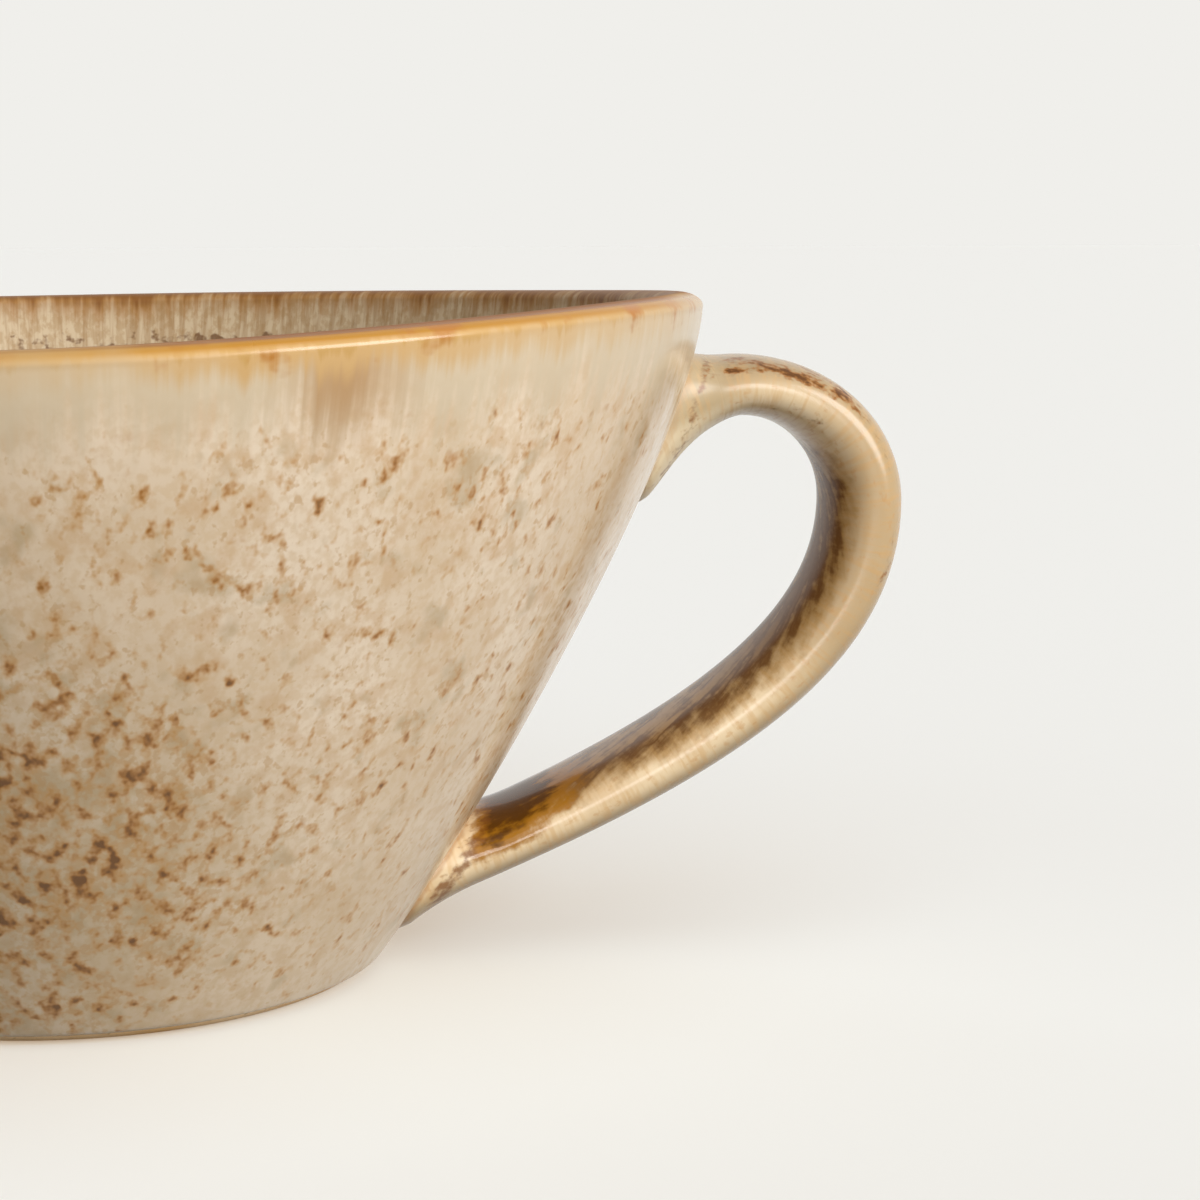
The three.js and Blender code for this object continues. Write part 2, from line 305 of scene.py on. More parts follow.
# Coats on the bowl. The sand glaze is sprayed on the outside, the liner is poured round the inside and
# the rim is dipped in iron glaze. In the kiln they melt into one skin, which breaks amber on the lip
# and lets iron flecks bleed through the sand.
bead = 0.0005  # height of the rounded edge above the wiped foot
bead_steps = 6
crowded_and_shaded_spot = (-0.006, -0.038, 0.018)  # low on the front, where the iron flecks are thickest and the sand is partly darkened as painted shade
tear_spot = (0.0195, -0.051, 0.0545)  # where one long brown run hangs from the rim
thin_spot = (-0.012, -0.054, 0.056)  # on the rim's front, where its coat is thin and dry
pale_highlight_spot = (0.0515, -0.0195, 0.0565)  # on the rim by the handle: the amber pales towards it, and at it a painted highlight pales the crest

# Reactive sand glaze: glossy over faint dimples, cream and buff in clouds, with rust-brown flecks.
# It runs from pale streaks through amber to brown at the lip, and looks dry where the coat is thin.
# Painted shade darkens the sand towards the foot and round the crowded spot; a painted highlight pales the
# lip by the handle.
glaze = bpy.data.materials.new("reactive_sand_glaze")
glaze.use_nodes = True
tree = glaze.node_tree
place = add(tree, "TexCoord", output="Object")
level = add(tree, "SeparateXYZ", inputs={"Vector": place}, output="Z")
unrolled = add(tree, "Attribute", {"attribute_name": "unrolled"}, output="Vector")
from_crest = add(tree, "SeparateXYZ", inputs={"Vector": unrolled}, output="Z")

# The sand: clouds and two grains, with painted shade towards the foot, and darker round the crowded spot,
# partly painted shade and partly the glaze's own darker tone there
cloud = blots(tree, place, (0.012, 0.012, 0.014), 1.0)
sand = stain(tree, linear("#e3cfb5"), cloud, 0.38, 0.62, "#d7c0a2")
fine_grain = blots(tree, place, (0.0007, 0.0007, 0.0009), 3.0)
sand = stain(tree, sand, fine_grain, 0.40, 0.64, "#cdb089", 0.45)
coarse_grain = blots(tree, place, (0.0022, 0.0022, 0.0026), 2.0, 3.0)
sand = stain(tree, sand, coarse_grain, 0.48, 0.66, "#c5a074", 0.5)
# painted shade: the sand darkens towards the foot, where the wall turns down, away from the lamps
sand = stain(tree, sand, level, 0.030, 0.006, "#b0946a", 0.32)
# partly painted shade: the sand darkens round the crowded spot, together with the iron crowding there
from_crowd_and_shade = add(tree, "VectorMath", {"operation": "DISTANCE"}, {0: place, 1: crowded_and_shaded_spot})
sand = stain(tree, sand, from_crowd_and_shade, 0.026, 0.008, "#99835c", 0.28)

# Iron flecks: crowded round that spot, in drifts and along veins, and few under the rim
inputs = {"Value": from_crowd_and_shade, "From Min": 0.030, "From Max": 0.006, "To Max": 0.12}
crowding = add(tree, "MapRange", {"interpolation_type": "SMOOTHSTEP"}, inputs)
inputs = {"Value": from_crest, "From Min": 0.005, "From Max": 0.011, "To Min": -0.14, "To Max": 0.04}
clearing = add(tree, "MapRange", {"interpolation_type": "SMOOTHSTEP"}, inputs)
crowd = add(tree, "Math", {"operation": "ADD"}, {0: crowding, 1: clearing})
drift = blots(tree, place, (0.006, 0.006, 0.006), 4.0, 1.0)
crowd = add(tree, "Math", {"operation": "MULTIPLY_ADD"}, {0: drift, 1: 0.24, 2: crowd})
vein = blots(tree, place, (0.0055, 0.0055, 0.0065), 8.0, 3.0)
vein = add(tree, "Math", {"operation": "SUBTRACT"}, {0: vein, 1: 0.5})
vein = add(tree, "Math", {"operation": "ABSOLUTE"}, {0: vein})
inputs = {"Value": vein, "From Min": 0.06, "From Max": 0.0, "To Max": 0.06}
vein = add(tree, "MapRange", {"interpolation_type": "SMOOTHSTEP"}, inputs)
crowd = add(tree, "Math", {"operation": "ADD"}, {0: crowd, 1: vein})
flecks = (
    ((0.0035, 0.0035, 0.0042), 5.0, ("#a58d65", 0.73, 0.92, 0.45)),
    ((0.0007, 0.0007, 0.0009), 6.0, ("#b58a52", 0.755, 0.885, 0.45)),
    ((0.0012, 0.0012, 0.0016), 7.0, ("#bd8b4a", 0.715, 0.865, 0.55)),
    ((0.0012, 0.0012, 0.0016), 7.0, ("#9e6624", 0.805, 0.935, 0.85)),
    ((0.0012, 0.0012, 0.0016), 7.0, ("#684013", 0.89, 1.0, 0.9)),
)
for size, seed, (colour, start, end, strength) in flecks:
    iron = blots(tree, place, size, seed)
    iron = add(tree, "Math", {"operation": "ADD"}, {0: iron, 1: crowd})
    sand = stain(tree, sand, iron, start, end, colour, strength)

# Outside of the rim: pale streaks that hang over the sand, one long brown run, then amber and a brown
# # crest, which are weaker in the thin spot and towards the spot by the handle, where the crest's paling is
# a painted highlight
streak = blots(tree, unrolled, (0.0008, 0.0008, 0.02), 11.0, 3.0)
lick = blots(tree, unrolled, (0.005, 0.005, 0.05), 12.0)
hang = add(tree, "Math", {"operation": "MULTIPLY_ADD"}, {0: streak, 1: -0.010, 2: 0.011})
hang = add(tree, "Math", {"operation": "MULTIPLY_ADD"}, {0: lick, 1: -0.012, 2: hang})
fall = add(tree, "Math", {"operation": "ADD"}, {0: from_crest, 1: hang})
outer = stain(tree, sand, fall, 0.0105, 0.0045, "#c9b698", 0.9)
tear = add(tree, "VectorMath", {"operation": "DISTANCE"}, {0: place, 1: tear_spot})
tear = add(tree, "Math", {"operation": "MULTIPLY_ADD"}, {0: hang, 1: 0.6, 2: tear})
outer = stain(tree, outer, tear, 0.0075, 0.0, "#a87a42", 0.75)
outer = stain(tree, outer, from_crest, 0.0030, 0.0019, "#ab8a58", 0.75)
from_thin = add(tree, "VectorMath", {"operation": "DISTANCE"}, {0: place, 1: thin_spot})
richness = add(tree, "Math", {"operation": "MULTIPLY_ADD"}, {0: lick, 1: 0.02, 2: from_thin})
inputs = {"Value": richness, "From Min": 0.018, "From Max": 0.036, "To Min": 0.25, "To Max": 1.0}
richness = add(tree, "MapRange", {"interpolation_type": "SMOOTHSTEP"}, inputs)
from_pale_highlight = add(tree, "VectorMath", {"operation": "DISTANCE"}, {0: place, 1: pale_highlight_spot})
inputs = {"Value": from_pale_highlight, "From Min": 0.003, "From Max": 0.045, "To Min": 0.2, "To Max": 1.0}
inputs = {0: richness, 1: add(tree, "MapRange", inputs=inputs)}
amber_share = add(tree, "Math", {"operation": "MINIMUM"}, inputs)
# painted highlight: near the spot by the handle the crest's brown gives way to pale, where the lip's corner
# catches the light
inputs = {"Value": from_pale_highlight, "From Min": 0.002, "From Max": 0.010, "To Min": 0.2, "To Max": 1.0}
inputs = {0: richness, 1: add(tree, "MapRange", inputs=inputs)}
crest_share = add(tree, "Math", {"operation": "MINIMUM"}, inputs)
amber_edge = add(tree, "Math", {"operation": "MULTIPLY_ADD"}, {0: hang, 1: 0.4, 2: from_crest})
outer = stain(tree, outer, amber_edge, 0.0049, 0.0028, "#c49e68", amber_share)
outer = stain(tree, outer, amber_edge, 0.0027, 0.0019, "#bc9456", amber_share)
outer = stain(tree, outer, from_crest, 0.0022, 0.0016, "#ae7819", crest_share)
burn = blots(tree, unrolled, (0.004, 0.004, 0.003), 15.0, 3.0)
inputs = {"Value": amber_edge, "From Min": 0.0042, "From Max": 0.0016, "To Min": -0.16, "To Max": 0.0}
burn = add(tree, "Math", {"operation": "ADD"}, {0: burn, 1: add(tree, "MapRange", inputs=inputs)})
outer = stain(tree, outer, burn, 0.50, 0.68, "#a96c22", richness)
outer = stain(tree, outer, from_crest, 0.0013, 0.0008, "#84501a", crest_share)

# Inside: a grainy buff liner with drips that fade downwards, brown under the rim and blotched below it
depth = add(tree, "Math", {"operation": "MULTIPLY"}, {0: from_crest, 1: -1.0})
liner_grain = blots(tree, place, (0.0008, 0.0008, 0.0013), 13.0, 3.0, 0.6)
liner = stain(tree, linear("#b6a284"), liner_grain, 0.44, 0.60, "#96784e", 0.5)
drip = blots(tree, unrolled, (0.0006, 0.0006, 0.007), 16.0, 3.0)
inputs = {"Value": depth, "From Min": 0.012, "From Max": 0.032, "To Min": 0.55, "To Max": 0.0}
liner = stain(tree, liner, drip, 0.42, 0.64, "#876538", add(tree, "MapRange", inputs=inputs))
inner_fall = add(tree, "Math", {"operation": "MULTIPLY_ADD"}, {0: hang, 1: 0.5, 2: depth})
liner = stain(tree, liner, inner_fall, 0.0044, 0.0014, "#8c5e20", 0.8)
liner = stain(tree, liner, inner_fall, 0.0024, 0.0008, "#704412", 0.9)
blotch = blots(tree, place, (0.0022, 0.0022, 0.0022), 14.0, 3.0, 0.6)
inputs = {"Value": depth, "From Min": 0.0039, "From Max": 0.0058, "To Min": -0.2, "To Max": 0.07}
blotch = add(tree, "Math", {"operation": "ADD"}, {0: blotch, 1: add(tree, "MapRange", inputs=inputs)})
liner = stain(tree, liner, blotch, 0.56, 0.66, "#5c3812", 0.85)
inner_share = add(tree, "MapRange", inputs={"Value": from_crest, "From Min": 0.0004, "From Max": -0.0004})
skin = add(tree, "Mix", {"data_type": "RGBA"}, {"Factor": inner_share, "A": outer, "B": liner})

# Gloss: wet all over, but dry on the thin crest, in the thin spot and inside the rim
crest_dry = add(tree, "Math", {"operation": "ABSOLUTE"}, {0: from_crest})
crest_dry = add(tree, "MapRange", inputs={"Value": crest_dry, "From Min": 0.0012, "From Max": 0.0003})
inputs = {"Value": from_thin, "From Min": 0.032, "From Max": 0.010}
spot_dry = add(tree, "MapRange", {"interpolation_type": "SMOOTHSTEP"}, inputs)
dry = add(tree, "Math", {"operation": "MAXIMUM"}, {0: crest_dry, 1: spot_dry})
inputs = {"Value": depth, "From Min": 0.010, "From Max": 0.004, "To Max": 0.8}
inputs = {0: inner_share, 1: add(tree, "MapRange", inputs=inputs)}
inner_dry = add(tree, "Math", {"operation": "MULTIPLY"}, inputs)
dry = add(tree, "Math", {"operation": "MAXIMUM"}, {0: dry, 1: inner_dry})
bsdf = tree.nodes["Principled BSDF"]
bsdf.inputs["IOR"].default_value = 1.48
for gloss, wet, matt in (("Roughness", 0.2, 0.5), ("Specular IOR Level", 0.5, 0.15)):
    inputs = {"Value": dry, "To Min": wet, "To Max": matt}
    tree.links.new(add(tree, "MapRange", inputs=inputs), bsdf.inputs[gloss])
tree.links.new(skin, bsdf.inputs["Base Color"])
dimples = blots(tree, place, (0.004, 0.004, 0.004), 21.0)
relief = add(tree, "Bump", inputs={"Strength": 0.3, "Distance": 0.0002, "Height": dimples})
tree.links.new(relief, bsdf.inputs["Normal"])


def run_lengths(points):
    """How far along a line of points each of them lies."""
    steps = [(b - a).length for a, b in zip(points, points[1:])]
    return [sum(steps[:i]) for i in range(len(points))]


bead_line = []
for a in spaced(0, math.pi / 2, bead_steps):
    t = height_on(outside, 0, bare_foot + bead * (1 - math.cos(a)))
    bead_line.append(outside(glaze_thickness * (1 - math.sin(a)), t))
coat_lines = {
    "sand_coat": bead_line[:-1] + outer_line(0, seen_steps, bare_foot + bead),
    "amber_rim": rim_line(0, seen_steps),
    "liner_coat": liner_line(0, seen_steps),
}
rim_run = run_lengths(coat_lines["amber_rim"])
crest = max(range(len(rim_run)), key=lambda i: coat_lines["amber_rim"][i].y)
crest_run = {  # how far the crest lies from the start of each coat's line
    "sand_coat": run_lengths(coat_lines["sand_coat"])[-1] + rim_run[crest],
    "amber_rim": rim_run[crest],
    "liner_coat": rim_run[crest] - rim_run[-1],
}
for name, hidden_line, node, slot in (
    ("sand_coat", outer_line, "outer_glaze", "sand_glaze"),
    ("amber_rim", rim_line, "rim_glaze", "amber_glaze"),
    ("liner_coat", liner_line, "liner_glaze", "liner_glaze"),
):
    front = coat_lines[name]
    back = hidden_line(glaze_thickness, hidden_steps)[::-1]
    distances = [crest_run[name] - run for run in run_lengths(front)]
    distances = list(np.linspace(distances[-1], distances[0], len(back))) + distances
    around = back + front
    if name != "liner_coat":  # the liner's line runs from axis to axis, the others close on themselves
        around.append(back[0])
        distances.append(distances[0])
    coat = finished(name, turned(around, distances), glaze)
    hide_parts(node)

# Coat on the handle. The same sand glaze runs thin on the strap's outside and pools dark brown along
# the middle of its inside. It melts into the coat on the wall at both roots.
upper_root_drop = 0.0102  # drops are measured from the lip
upper_root_inset = 0.0033
upper_root_rise = math.radians(13)
upper_root_pull = 0.0022
arch_drop = 0.00715
arch_run = 0.0103
arch_pull = 0.003
handle_reach = 0.016
outermost_drop = 0.0177
outermost_pull = 0.0136
lower_root_height = 0.0065
lower_root_inset = 0.0016
lower_root_rise = math.radians(20.4)
lower_root_pull = 0.0289
thicknesses = (0.0128, 0.0054, 0.0067, 0.0055)  # upper root, arch, outermost point, lower root
widths = (0.0145, 0.013, 0.013, 0.014)
section_power = 2.4  # 2 is an ellipse, more is squarer
slip_fillet = 0.001
slip_reach = 0.004
bury = 0.0008  # how far the coat's ends run into the wall
stub = 0.006  # how far the strap's line is drawn on behind each root
quarter_arc_pull = 0.5523  # share of its radius that draws a quarter of a circle
strap_steps = 400  # for each run of the strap's line
wall_steps = 400
section_sides, strap_rings = 72, 200


def rising(angle):
    """A direction, as radius and height, that rises from level."""
    return Vector((math.cos(angle), math.sin(angle)))


upper_height = height - upper_root_drop
upper_root = Vector((outside(0, height_on(outside, 0, upper_height)).x - upper_root_inset, upper_height))
arch_top = Vector((upper_root.x + arch_run, height - arch_drop))
outermost = Vector((rim_radius + handle_reach, height - outermost_drop))
lower_root = Vector(
    (outside(0, height_on(outside, 0, lower_root_height)).x - lower_root_inset, lower_root_height)
)
out, up = rising(0), leaning(0)
into_wall = [-stub * rising(rise) for rise in (upper_root_rise, lower_root_rise)]
strap_lines = (
    [upper_root + share * into_wall[0] for share in (1, 2 / 3, 1 / 3, 0)],
    (
        upper_root,
        upper_root + upper_root_pull * rising(upper_root_rise),
        arch_top - arch_pull * out,
        arch_top,
    ),
    (
        arch_top,
        arch_top + quarter_arc_pull * (outermost.x - arch_top.x) * out,
        outermost + quarter_arc_pull * (arch_top.y - outermost.y) * up,
        outermost,
    ),
    (
        outermost,
        outermost - outermost_pull * up,
        lower_root + lower_root_pull * rising(lower_root_rise),
        lower_root,
    ),
    [lower_root + share * into_wall[1] for share in (0, 1 / 3, 2 / 3, 1)],
)


def swell(number, t, sizes):
    """Thickness or width on one of the strap's lines: it settles fast below the upper root, then eases."""
    ends = (sizes[0], sizes[0], sizes[1], sizes[2], sizes[3], sizes[3])[number : number + 2]
    share = 1 - (1 - t) ** 2 if number == 1 else t * t * (3 - 2 * t)
    return ends[0] + (ends[1] - ends[0]) * share


strap_places = []
for number, line in enumerate(strap_lines):
    for t in spaced(0, 1, strap_steps)[:-1]:
        centre, heading = bezier(line, t)
        strap_places.append((*centre, *heading, swell(number, t, thicknesses), swell(number, t, widths)))
strap_places = np.array(strap_places)
strap_runs = np.concatenate(([0], np.cumsum(np.hypot(*np.diff(strap_places[:, :2], axis=0).T))))

wall_heights, wall_radii, wall_slants = np.array(
    [(*outside(0, t).yx, bezier(wall_line, t)[1].y) for t in spaced(0, 1, wall_steps)]
).T


def stand_off(point):
    """How far a point stands off the glazed wall, measured square to it."""
    radius = np.interp(point.z, wall_heights, wall_radii)
    return (point.xy.length - radius) * np.interp(point.z, wall_heights, wall_slants)


def strap_point(run, turn):
    """The point of the strap's skin at a distance along it and a turn round its section from the outside,
    and its place on the strap: along, across towards the outside, and aside from the middle."""
    x, z, heading_x, heading_z, thickness, width = (
        np.interp(run, strap_runs, column) for column in strap_places.T
    )
    ways = math.cos(turn), math.sin(turn)
    cosine, sine = (math.copysign(abs(way) ** (2 / section_power), way) for way in ways)

    def at(extra):
        across, aside = cosine * (thickness / 2 + extra), sine * (width / 2 + extra)
        return Vector((x - heading_z * across, aside, z + heading_x * across)), Vector((run, across, aside))

    fade = min(max(1 - stand_off(at(0)[0]) / slip_reach, 0), 1)
    return at(slip_fillet * fade**2)


def rail_end(turn, inner, outer):
    """Where a line along the strap's skin comes to its end under the surface of the wall."""
    for _ in range(halvings):
        middle = (inner + outer) / 2
        if stand_off(strap_point(middle, turn)[0]) < -bury:
            inner = middle
        else:
            outer = middle
    return outer


upper_search = strap_runs[0], strap_runs[2 * strap_steps]  # from inside the wall to the top of the arch
lower_search = strap_runs[-1], strap_runs[3 * strap_steps]  # from inside the wall to the outermost point
bm = bmesh.new()
strap_layer = bm.verts.layers.float_vector.new("strap")
off_wall = bm.verts.layers.float.new("off_wall")
bmesh.ops.create_grid(bm, x_segments=section_sides, y_segments=strap_rings, size=0.5)
rails = {}
for vert in bm.verts:
    turn = vert.co.x * math.tau
    rail = round((vert.co.x + 0.5) * section_sides)
    if rail not in rails:
        rails[rail] = rail_end(turn, *upper_search), rail_end(turn, *lower_search)
    start, end = rails[rail]
    vert.co, vert[strap_layer] = strap_point(start + (end - start) * (vert.co.y + 0.5), turn)
    vert[off_wall] = stand_off(vert.co)
bmesh.ops.remove_doubles(bm, verts=bm.verts, dist=weld)
bmesh.ops.recalc_face_normals(bm, faces=bm.faces)
bmesh.ops.solidify(bm, geom=bm.faces[:], thickness=glaze_thickness)

# Pooled sand glaze: glossy cream with fine hair lines across the strap where it is thin, furry-edged
# brown where it pools, glassy amber at the lower root, and a line of rust along the arch.
# Painted shade darkens the strap near the upper root, round the outer bend and on the arch's inside, and
# painted light paleens the underside of the arch.
strap_glaze = bpy.data.materials.new("pooled_sand_glaze")
strap_glaze.use_nodes = True
tree = strap_glaze.node_tree
strap_place = add(tree, "Attribute", {"attribute_name": "strap"}, output="Vector")
along, across, aside = (add(tree, "SeparateXYZ", inputs={"Vector": strap_place}, output=a) for a in "XYZ")
from_middle = add(tree, "Math", {"operation": "ABSOLUTE"}, {0: aside})
from_wall = add(tree, "Attribute", {"attribute_name": "off_wall"}, output="Fac")

# The thin coat: mottled cream, darker outside; painted shade round the outer bend and by the upper root,
# painted light under the arch
mottle = blots(tree, strap_place, (0.004, 0.003, 0.003), 32.0)
cream = stain(tree, linear("#dac39e"), mottle, 0.42, 0.62, "#cbaf86", 0.7)
from_bend = add(tree, "Math", {"operation": "SUBTRACT"}, {0: along, 1: 0.038})
from_bend = add(tree, "Math", {"operation": "ABSOLUTE"}, {0: from_bend})
# painted shade: darker round the outer bend, where the strap's side gets less light
cream = stain(tree, cream, from_bend, 0.018, 0.008, "#b0946c", 0.85)
inputs = {"Value": from_bend, "From Min": 0.006, "From Max": 0.016, "To Min": 0.2, "To Max": 0.85}
cream = stain(tree, cream, across, 0.0000, 0.0020, "#a0855c", add(tree, "MapRange", inputs=inputs))
inputs = {"Value": along, "From Min": 0.022, "From Max": 0.034, "To Min": 0.7, "To Max": 0.0}
cream = stain(tree, cream, across, -0.0002, 0.0014, "#a0855c", add(tree, "MapRange", inputs=inputs))
# painted shade: darker near the upper root, where the top of the strap gets less light
cream = stain(tree, cream, along, 0.019, 0.011, "#8c7a58", 0.75)
inputs = {"Value": along, "From Min": 0.024, "From Max": 0.032, "To Min": 0.8, "To Max": 0.0}
# painted light: paler on the underside of the arch, against the shade that falls there
cream = stain(tree, cream, across, -0.0004, -0.0022, "#ecdab8", add(tree, "MapRange", inputs=inputs))
hair = blots(tree, strap_place, (0.0005, 0.003, 0.003), 31.0, 3.0)
cream = stain(tree, cream, hair, 0.44, 0.66, "#c1955a", 0.4)
dots = blots(tree, strap_place, (0.0009, 0.0006, 0.0006), 34.0, 3.0)
cream = stain(tree, cream, dots, 0.56, 0.70, "#b98850", 0.4)

# The pool on the inside: dry at the upper root, with a furred shore and lighter streaks down its middle;
# inside the arch it is partly painted shade
fur = blots(tree, strap_place, (0.0014, 0.0026, 0.0026), 33.0, 4.0, 0.6)
swept = add(tree, "Mapping", inputs={"Vector": strap_place, "Rotation": (0, math.radians(-24), 0)})
smear = blots(tree, swept, (0.007, 0.0015, 0.0012), 35.0, 4.0)
pool_and_shade = across
# partly painted shade: inside the arch the pool starts where the arch's inside falls into shade
for field, start, end, low, high in (
    (along, 0.024, 0.060, 0.0026, 0.0012),
    (along, 0.015, 0.026, 0.006, 0.0),
    (along, 0.074, 0.081, 0.0, -0.0010),
    (from_wall, 0.0024, 0.0006, 0.0, 0.0036),
):
    inputs = {"Value": field, "From Min": start, "From Max": end, "To Min": low, "To Max": high}
    pool_and_shade = add(tree, "Math", {"operation": "ADD"}, {0: pool_and_shade, 1: add(tree, "MapRange", inputs=inputs)})
pool_and_shade = add(tree, "Math", {"operation": "MULTIPLY_ADD"}, {0: fur, 1: 0.0022, 2: pool_and_shade})
pool_and_shade = add(tree, "Math", {"operation": "MULTIPLY_ADD"}, {0: smear, 1: 0.0032, 2: pool_and_shade})
cream = stain(tree, cream, pool_and_shade, 0.0034, 0.0020, "#9a7640", 0.75)
cream = stain(tree, cream, pool_and_shade, 0.0024, 0.0014, "#5e3714", 0.88)
midstreak = add(tree, "Math", {"operation": "MULTIPLY_ADD"}, {0: fur, 1: 0.006, 2: from_middle})
midstreak = add(tree, "Math", {"operation": "MULTIPLY_ADD"}, {0: smear, 1: 0.026, 2: midstreak})
thick_pool_out_of_shade = add(tree, "MapRange", inputs={"Value": pool_and_shade, "From Min": 0.0017, "From Max": 0.0008, "To Max": 0.8})
# painted shade: the lighter streaks are held back along the arch, so the pool stays dark on its shaded
# inside
inputs = {"Value": along, "From Min": 0.044, "From Max": 0.060, "To Min": 0.15, "To Max": 1.0}
thick_pool_out_of_shade = add(tree, "Math", {"operation": "MULTIPLY"}, {0: thick_pool_out_of_shade, 1: add(tree, "MapRange", inputs=inputs)})
cream = stain(tree, cream, midstreak, 0.0214, 0.0168, "#b08b58", thick_pool_out_of_shade)

# Its lower end: clear amber with brown clots
inputs = {"Value": along, "From Min": 0.066, "From Max": 0.077, "To Min": 0.004, "To Max": 0.0}
glassy = add(tree, "Math", {"operation": "ADD"}, {0: pool_and_shade, 1: add(tree, "MapRange", inputs=inputs)})
cream = stain(tree, cream, glassy, 0.0034, 0.0024, "#9c680f", 0.9)
clot = blots(tree, strap_place, (0.0024, 0.0009, 0.0009), 37.0, 3.0)
clot = add(tree, "Math", {"operation": "MULTIPLY_ADD"}, {0: clot, 1: 0.0036, 2: glassy})
cream = stain(tree, cream, clot, 0.0040, 0.0027, "#4a2804", 0.88)

# The roots: paler near the wall at the upper one, a rusty line along both joints and crackle beside it
near = add(tree, "Math", {"operation": "MULTIPLY_ADD"}, {0: mottle, 1: 0.002, 2: from_wall})
inputs = {"Value": along, "From Min": 0.03, "From Max": 0.06, "To Min": 0.3, "To Max": 0.0}
cream = stain(tree, cream, near, 0.0060, 0.0014, "#d3bd98", add(tree, "MapRange", inputs=inputs))
inputs = {"Value": along, "From Min": 0.03, "From Max": 0.06, "To Min": 0.2, "To Max": 0.5}
cream = stain(tree, cream, near, 0.0015, 0.0011, "#9a6630", add(tree, "MapRange", inputs=inputs))
crackle = add(tree, "Math", {"operation": "SUBTRACT"}, {0: near, 1: 0.0026})
crackle = add(tree, "Math", {"operation": "ABSOLUTE"}, {0: crackle})
crackle = add(tree, "Math", {"operation": "MULTIPLY_ADD"}, {0: dots, 1: -0.003, 2: crackle})
inputs = {"Value": along, "From Min": 0.02, "From Max": 0.06, "To Min": 0.0003, "To Max": -0.0001}
crackle = add(tree, "Math", {"operation": "ADD"}, {0: crackle, 1: add(tree, "MapRange", inputs=inputs)})
cream = stain(tree, cream, crackle, -0.0008, -0.0018, "#74430f", 0.8)

# Rust along the strap's edges, on the outside of the arch only
rust = add(tree, "Math", {"operation": "SUBTRACT"}, {0: from_middle, 1: 0.0057})
rust = add(tree, "Math", {"operation": "ABSOLUTE"}, {0: rust})
rust_grain = blots(tree, strap_place, (0.0005, 0.0004, 0.0004), 36.0)
for breakup, share in ((smear, -0.010), (fur, -0.006), (dots, -0.006), (rust_grain, -0.006)):
    rust = add(tree, "Math", {"operation": "MULTIPLY_ADD"}, {0: breakup, 1: share, 2: rust})
for field, start, end, low, high in (
    (along, 0.012, 0.015, 0.004, 0.0),
    (along, 0.024, 0.030, 0.0, 0.004),
    (across, 0.0010, 0.0016, 0.004, 0.0),
):
    inputs = {"Value": field, "From Min": start, "From Max": end, "To Min": low, "To Max": high}
    rust = add(tree, "Math", {"operation": "ADD"}, {0: rust, 1: add(tree, "MapRange", inputs=inputs)})
cream = stain(tree, cream, rust, -0.0104, -0.0136, "#8d7654", 0.6)
cream = stain(tree, cream, rust, -0.0118, -0.0136, "#93570f", 0.75)
cream = stain(tree, cream, rust, -0.0128, -0.0150, "#54300c", 0.9)

# Gloss: smoothest on the amber, rougher at the upper root, and dull in the pool and on the rust
inputs = {"Value": glassy, "From Min": 0.0034, "From Max": 0.0026, "To Min": 0.22, "To Max": 0.08}
roughness = add(tree, "MapRange", inputs=inputs)
inputs = {"Value": along, "From Min": 0.024, "From Max": 0.010, "To Min": 0.0, "To Max": 0.38}
inputs = {0: roughness, 1: add(tree, "MapRange", inputs=inputs)}
roughness = add(tree, "Math", {"operation": "MAXIMUM"}, inputs)
dull = add(tree, "MapRange", inputs={"Value": pool_and_shade, "From Min": 0.0034, "From Max": 0.0020})
inputs = {"Value": along, "From Min": 0.070, "From Max": 0.050, "To Min": 0.0, "To Max": 1.0}
dull = add(tree, "Math", {"operation": "MULTIPLY"}, {0: dull, 1: add(tree, "MapRange", inputs=inputs)})
inputs = {"Value": glassy, "From Min": 0.0028, "From Max": 0.0016, "To Max": 0.9}
dull = add(tree, "Math", {"operation": "MAXIMUM"}, {0: dull, 1: add(tree, "MapRange", inputs=inputs)})
inputs = {"Value": rust, "From Min": -0.0118, "From Max": -0.0138}
dull = add(tree, "Math", {"operation": "MAXIMUM"}, {0: dull, 1: add(tree, "MapRange", inputs=inputs)})
specular = add(tree, "MapRange", inputs={"Value": dull, "To Min": 0.5, "To Max": 0.15})
bsdf = tree.nodes["Principled BSDF"]
bsdf.inputs["IOR"].default_value = 1.48
tree.links.new(roughness, bsdf.inputs["Roughness"])
tree.links.new(specular, bsdf.inputs["Specular IOR Level"])
tree.links.new(cream, bsdf.inputs["Base Color"])
relief = add(tree, "Bump", inputs={"Strength": 0.1, "Distance": 0.0001, "Height": hair})
tree.links.new(relief, bsdf.inputs["Normal"])
handle_coat = finished("handle_coat", bm, strap_glaze)
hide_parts("handle_glaze")

# Studio. A sheet of matt pale paper under five soft lamps and an even glow: a low key light at the right,
# a small front light that draws the ridge along the handle, a broad high light in front, a weak one at
# the left, and a low one behind that reflections don't show.
floor_half_width = 4
pale_grey = linear("#f0efeb")
floor_light = 1.0  # what reaches the open floor
shade_depth = (0.52, 0.67, 0.80)  # share of the paper's red, green and blue that shades
glow = 0.14
lens, sensor_width = 85.2, 36  # millimetres
camera_place = (0, -0.24873, 0.06624)
camera_tilt, camera_turn = 7.975, 10.707  # degrees, downwards and to the right

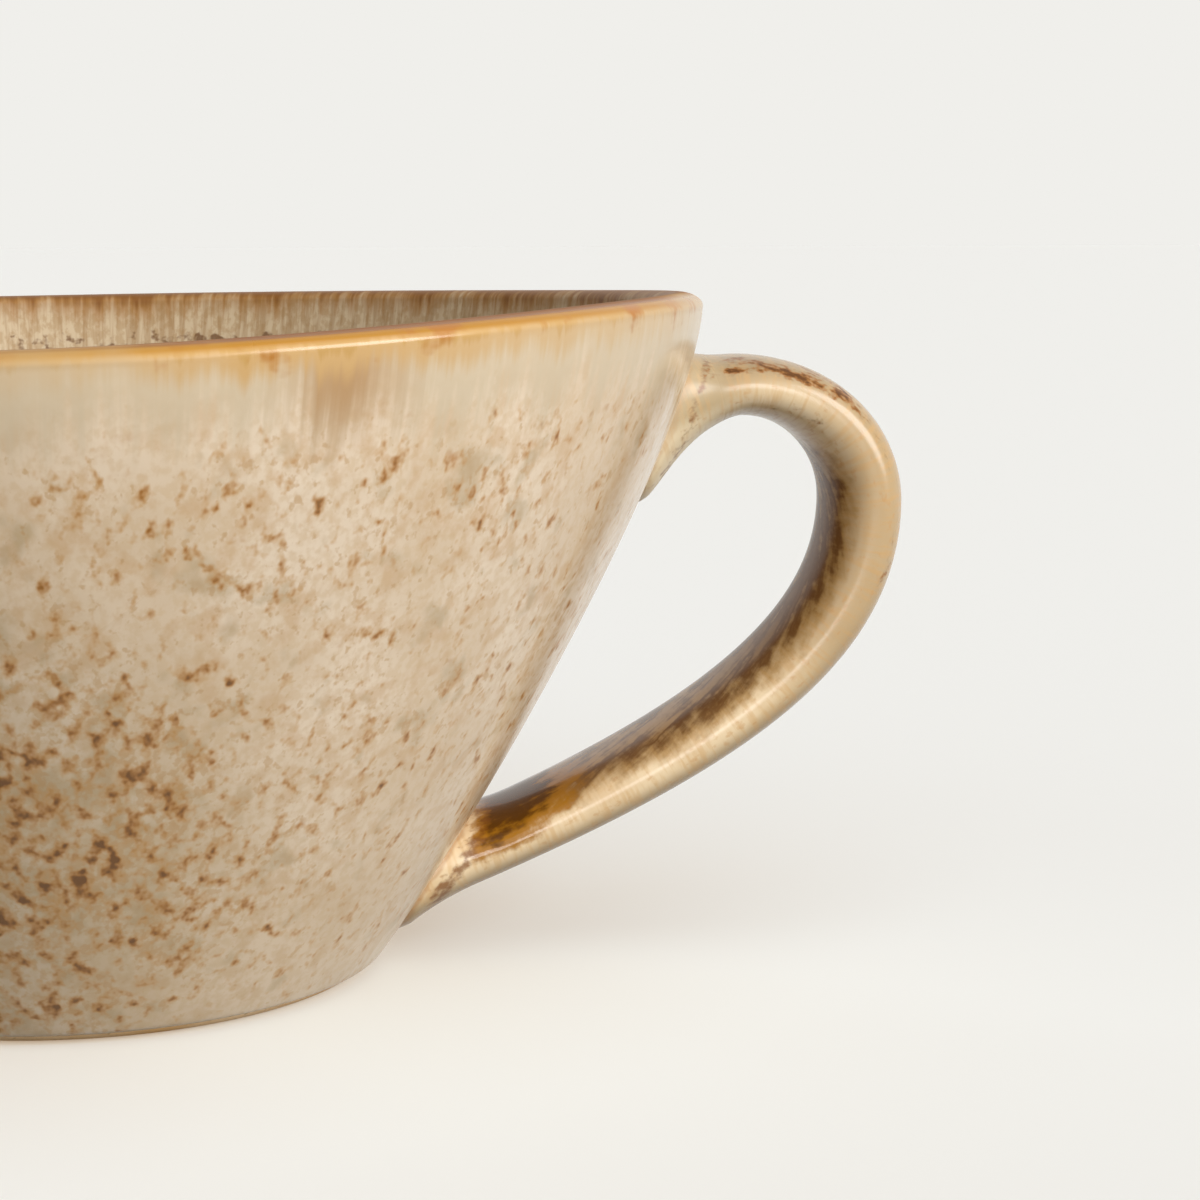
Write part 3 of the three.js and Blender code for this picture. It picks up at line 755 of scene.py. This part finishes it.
bm = bmesh.new()
bmesh.ops.create_grid(bm, x_segments=1, y_segments=1, size=floor_half_width)
floor_mesh = bpy.data.meshes.new("studio_floor")
bm.to_mesh(floor_mesh)
bm.free()
studio_floor = bpy.data.objects.new("studio_floor", floor_mesh)
bpy.context.scene.collection.objects.link(studio_floor)


def seen_directly(tree):
    """1 for what the camera sees, also in a reflection, and 0 for light that bounces."""
    camera_ray, glossy_ray, transmission_ray = (
        add(tree, "LightPath", output=f"Is {kind} Ray") for kind in ("Camera", "Glossy", "Transmission")
    )
    seen = add(tree, "Math", {"operation": "MAXIMUM"}, {0: camera_ray, 1: glossy_ray})
    return add(tree, "Math", {"operation": "MAXIMUM"}, {0: seen, 1: transmission_ray})


# Matt paper: an even pale sheet, of which a part takes the mug's soft shadow. It throws little light back.
paper = bpy.data.materials.new("matt_paper")
paper.use_nodes = True
tree = paper.node_tree
even_part = [p * (1 - d) for p, d in zip(pale_grey, shade_depth)] + [1]
lit_part = [p * d / floor_light for p, d in zip(pale_grey, shade_depth)] + [1]
bounce = add(tree, "BsdfDiffuse", inputs={"Color": linear("#4c4c4a")})
lit = add(tree, "BsdfDiffuse", inputs={"Color": lit_part})
even = add(tree, "Emission", inputs={"Color": even_part})
shown = add(tree, "AddShader", inputs={0: even, 1: lit})
sheet = add(tree, "MixShader", inputs={0: seen_directly(tree), 1: bounce, 2: shown})
tree.links.new(sheet, tree.nodes["Material Output"].inputs["Surface"])
tree.nodes.remove(tree.nodes["Principled BSDF"])
floor_mesh.materials.append(paper)

world = bpy.data.worlds.new("studio")
bpy.context.scene.world = world
world.use_nodes = True
tree = world.node_tree
inputs = {"Factor": seen_directly(tree), "A": [glow] * 3 + [1], "B": pale_grey}
surroundings = add(tree, "Mix", {"data_type": "RGBA"}, inputs)
tree.links.new(surroundings, tree.nodes["Background"].inputs["Color"])

for name, azimuth, elevation, strength, spread in (
    ("key_light", -40, 22, 2.5, 37),
    ("front_light", -80, 8, 0.85, 22),
    ("broad_light", -62, 50, 1.65, 90),
    ("left_light", -150, 14, 0.55, 70),
    ("back_light", 105, 12, 1.05, 40),
):
    a, e = math.radians(azimuth), math.radians(elevation)
    lamp = bpy.data.lights.new(name, "SUN")
    lamp.angle = math.radians(spread)
    lamp.energy = strength
    light = bpy.data.objects.new(name, lamp)
    towards = Vector((math.cos(a) * math.cos(e), math.sin(a) * math.cos(e), math.sin(e)))
    light.rotation_euler = towards.to_track_quat("Z", "Y").to_euler()
    light.visible_glossy = name != "back_light"
    bpy.context.scene.collection.objects.link(light)

camera = bpy.data.objects.new("camera", bpy.data.cameras.new("camera"))
camera.data.sensor_width = sensor_width
camera.data.lens = lens
camera.location = camera_place
camera.rotation_euler = (math.radians(90 - camera_tilt), 0, math.radians(-camera_turn))
bpy.context.scene.collection.objects.link(camera)
bpy.context.scene.camera = camera
bpy.context.scene.view_settings.view_transform = "Standard"
